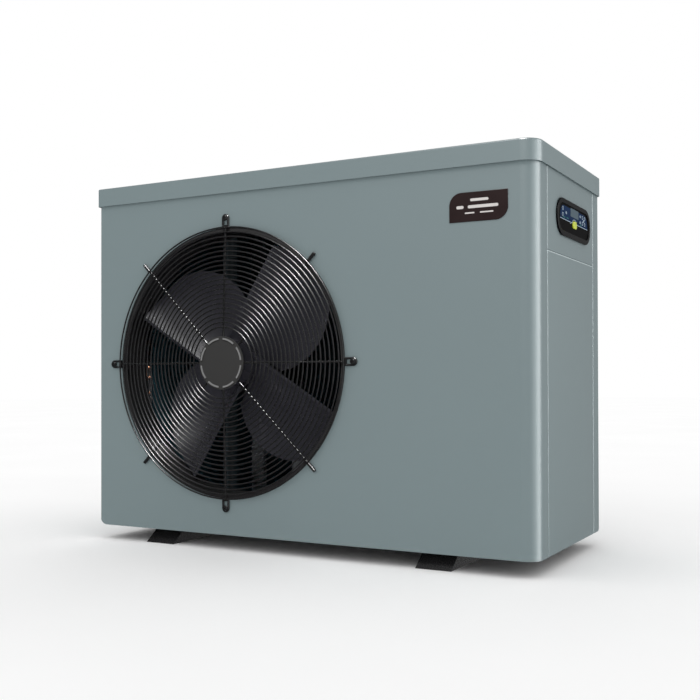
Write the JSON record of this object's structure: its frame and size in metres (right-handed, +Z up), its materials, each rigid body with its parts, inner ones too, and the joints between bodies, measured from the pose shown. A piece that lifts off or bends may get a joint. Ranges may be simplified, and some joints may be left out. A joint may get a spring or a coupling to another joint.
{
  "type": "pool heat pump",
  "caption": "Free-standing outdoor heat pump cabinet that warms pool or spa water, with a guarded axial fan, side controller and rear water unions.",
  "frame": {"origin": "on the ground under the middle of the whole unit's bounding box", "axes": "+Z up, +X to the right seen from the fan side, +Y from the fan side to the rear with the water unions"},
  "size_m": [0.8716, 0.4544, 0.666],
  "materials": {
    "paint": "smooth grey powder coat, low sheen",
    "galvanised": "zinc plated, dull",
    "guard_black": "black powder coat, satin",
    "black_plastic": "moulded, fine grain",
    "badge": null,
    "impeller": "moulded dark grey, semi gloss",
    "fins": "thin fins with a blue water shedding coat",
    "copper": "drawn copper tube",
    "brass": "turned and brazed",
    "compressor_black": "black stove enamel",
    "rubber": "matt",
    "pvc_grey": "moulded pressure pipe plastic",
    "titanium": "drawn titanium tube",
    "circuit": "lacquered circuit board",
    "terminal": "moulded",
    "gloss_black": "high gloss",
    "control_face": "blue and black printed face, high gloss",
    "display": "grey display behind a clear window",
    "button": "yellow-green, moulded"
  },
  "bodies": {
    "cabinet": {"base_pan": "galvanised", "front_panel": "paint", "top_cover": "paint", "right_upper_panel": "paint", "right_lower_panel": "paint", "rear_panel": "paint", "left_panel": "paint", "rear_coil_guard": "guard_black", "partition_plate": "galvanised", "foot_left": "guard_black", "foot_right": "guard_black", "pan_screws": "guard_black", "hex_bolts": "galvanised", "guard_rings": "guard_black", "guard_spokes": "guard_black", "guard_disc": "black_plastic", "badge_plate": "badge", "fan_shroud": "black_plastic", "motor_housing": "guard_black", "motor_bearings": "galvanised", "motor_bracket": "galvanised", "evaporator_fins": "fins", "coil_end_plates": "galvanised", "coil_return_bends": "copper", "compressor": "compressor_black", "compressor_terminal_cover": "black_plastic", "compressor_grommets": "rubber", "accumulator": "compressor_black", "four_way_valve": "brass", "expansion_valve": "brass", "discharge_pipe": "copper", "suction_pipe": "copper", "coil_gas_pipe": "copper", "exchanger_gas_pipe": "copper", "liquid_pipe": "copper", "exchanger_shell": "pvc_grey", "titanium_coil": "titanium", "water_inlet_pipe": "pvc_grey", "water_outlet_pipe": "pvc_grey", "union_sockets": "pvc_grey", "union_seals": "rubber", "flow_switch": "black_plastic", "electrical_box": "galvanised", "electrical_box_lid": "galvanised", "inverter_board": "circuit", "heat_sink": "galvanised", "terminal_block": "terminal", "controller_bezel": "gloss_black", "controller_face": "control_face", "display_window": "display", "controller_board": "circuit", "cable_gland": "black_plastic", "drain_spigot": "black_plastic"},
    "fan": {"impeller": "impeller", "impeller_nut": "galvanised", "motor_shaft": "galvanised", "motor_rotor": "galvanised"},
    "button": {"power_button": "button"},
    "inlet_nut": {"inlet_union_nut": "black_plastic"},
    "outlet_nut": {"outlet_union_nut": "black_plastic"}
  },
  "joints": [
    {"name": "fan_spin", "type": "hinge", "parent": "cabinet", "child": "fan", "pos_m": [-0.137, -0.1648, 0.331], "axis": [0, 1, 0], "continuous": true},
    {"name": "power_press", "type": "slide", "parent": "cabinet", "child": "button", "axis": [-1, 0, 0], "range_m": [0, 0.0012], "stiffness_N_per_m": 500, "springref_m": -0.001},
    {"name": "inlet_nut_spin", "type": "hinge", "parent": "cabinet", "child": "inlet_nut", "pos_m": [0.344, 0.1742, 0.121], "axis": [0, 1, 0], "continuous": true},
    {"name": "outlet_nut_spin", "type": "hinge", "parent": "cabinet", "child": "outlet_nut", "pos_m": [0.344, 0.1742, 0.401], "axis": [0, 1, 0], "continuous": true}
  ]
}
